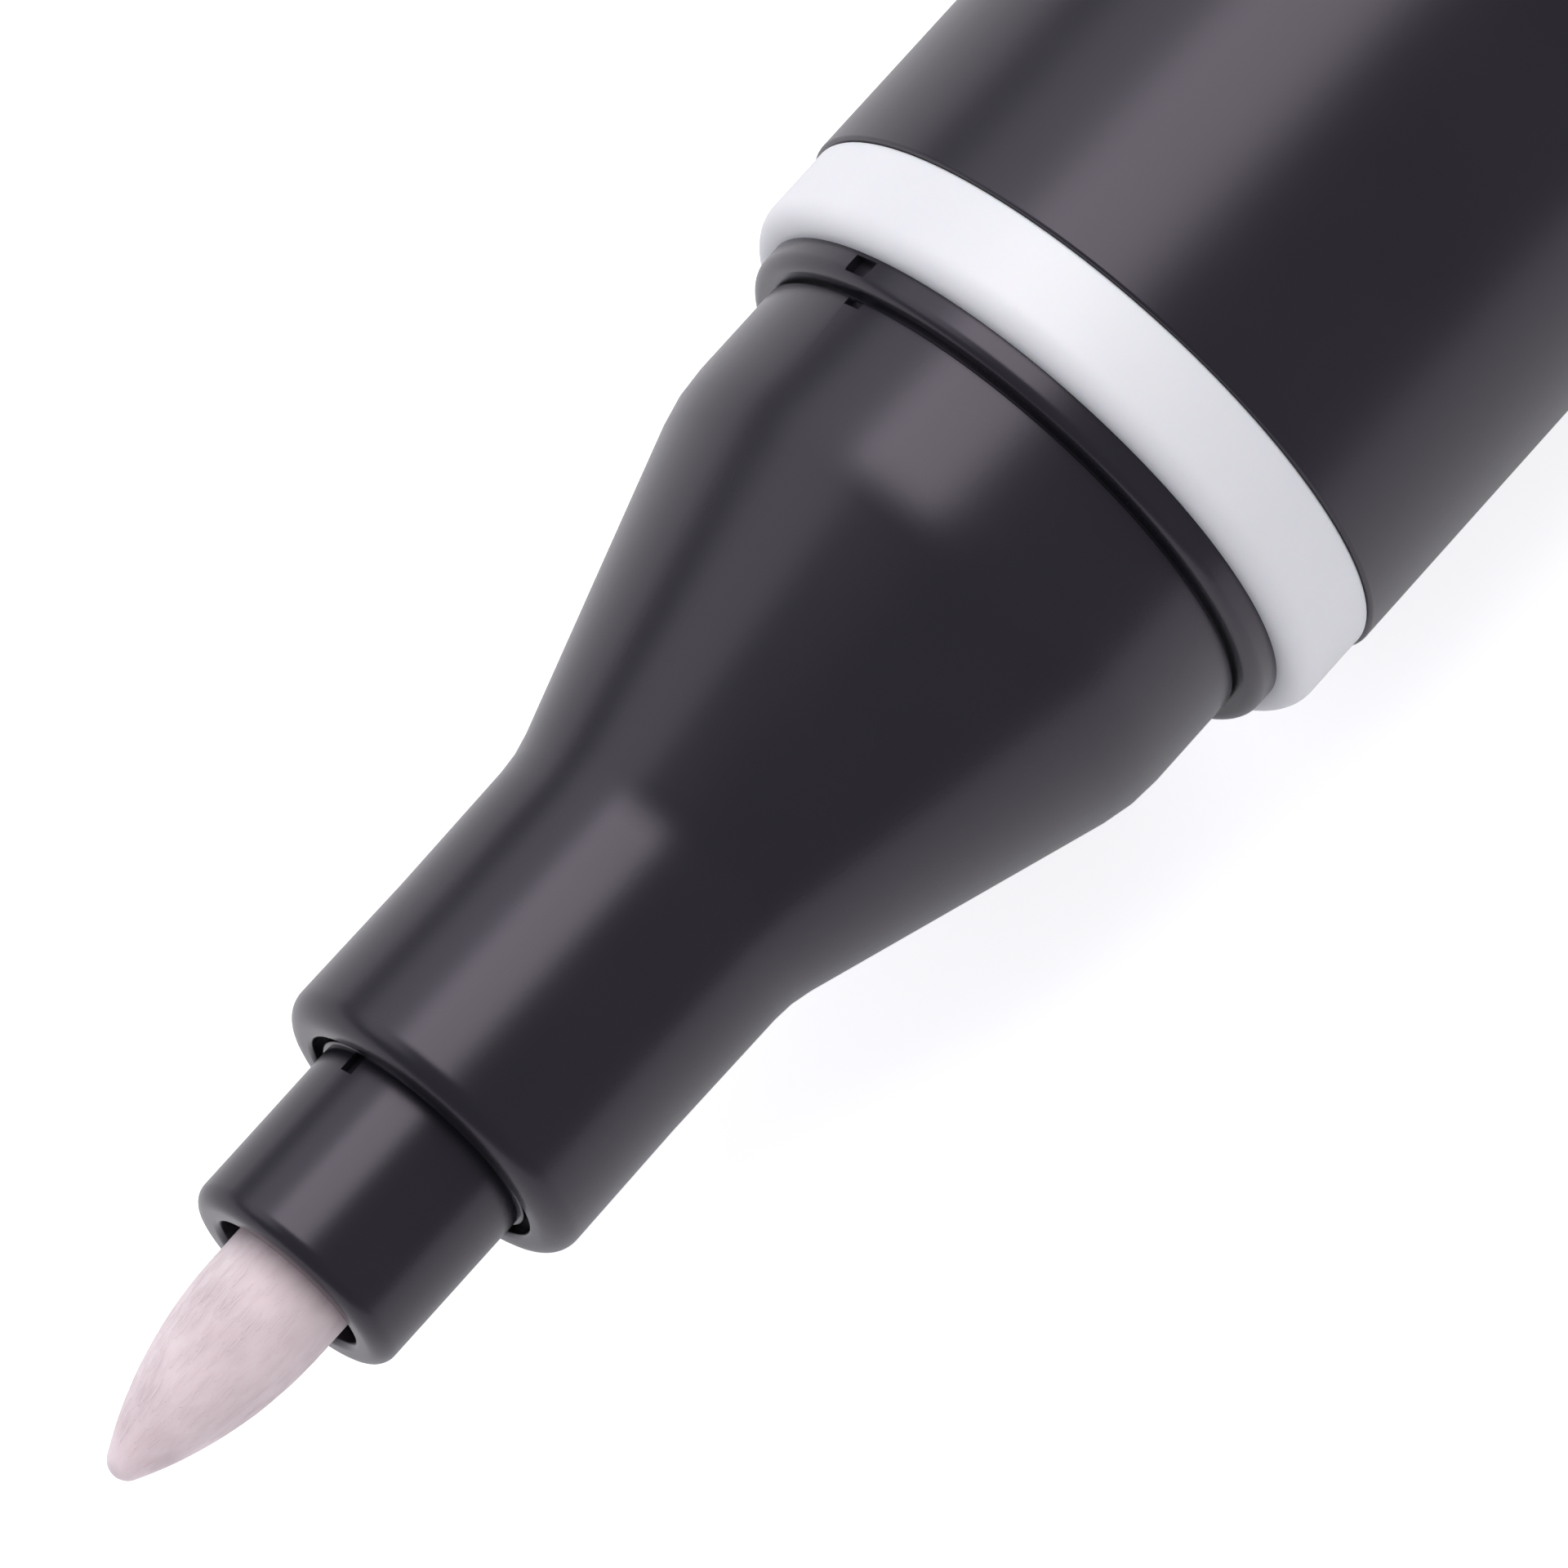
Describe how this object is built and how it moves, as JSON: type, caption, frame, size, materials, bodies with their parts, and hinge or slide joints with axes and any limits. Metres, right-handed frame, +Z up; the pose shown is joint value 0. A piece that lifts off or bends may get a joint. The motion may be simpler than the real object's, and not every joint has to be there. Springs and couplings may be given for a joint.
{
  "type": "brush pen",
  "caption": "Round black brush pen with a fibre brush nib, a stepped nose and a white ring, its clip cap posted on the tail.",
  "frame": {"origin": "on the pen's axis, at the barrel's front edge, where the barrel meets the white ring", "axes": "+X along the pen from the nib to the cap, +Z up as the pen lies on a table, its clip low on the -Y side"},
  "size_m": [0.1573, 0.0145, 0.0128],
  "materials": {
    "black_plastic": "satin gloss moulded plastic",
    "white_plastic": "satin gloss moulded plastic",
    "nib_fibre": "matte ground fibre",
    "reservoir_fibre": "matte fibre",
    "film": "thin clear film",
    "liner_plastic": "matte moulded plastic"
  },
  "bodies": {
    "pen": {"barrel": "black_plastic", "barrel_end_plug": "black_plastic", "colour_ring": "white_plastic", "nose_section": "black_plastic", "nib_holder": "black_plastic", "brush_nib": "nib_fibre", "ink_reservoir": "reservoir_fibre", "reservoir_wrap": "film"},
    "cap": {"cap_shell": "black_plastic", "cap_inner_seal": "liner_plastic", "cap_end_button": "white_plastic"},
    "clip": {"cap_clip": "black_plastic"}
  },
  "joints": [
    {"name": "cap_pull", "type": "slide", "parent": "pen", "child": "cap", "axis": [1, 0, 0], "range_m": [0, 0.012]},
    {"name": "clip_flex", "type": "hinge", "parent": "cap", "child": "clip", "pos_m": [0.12905, -0.00524, -0.00376], "axis": [0, -0.5828, 0.8126], "range_deg": [0, 4], "stiffness_Nm_per_rad": 1.5}
  ]
}
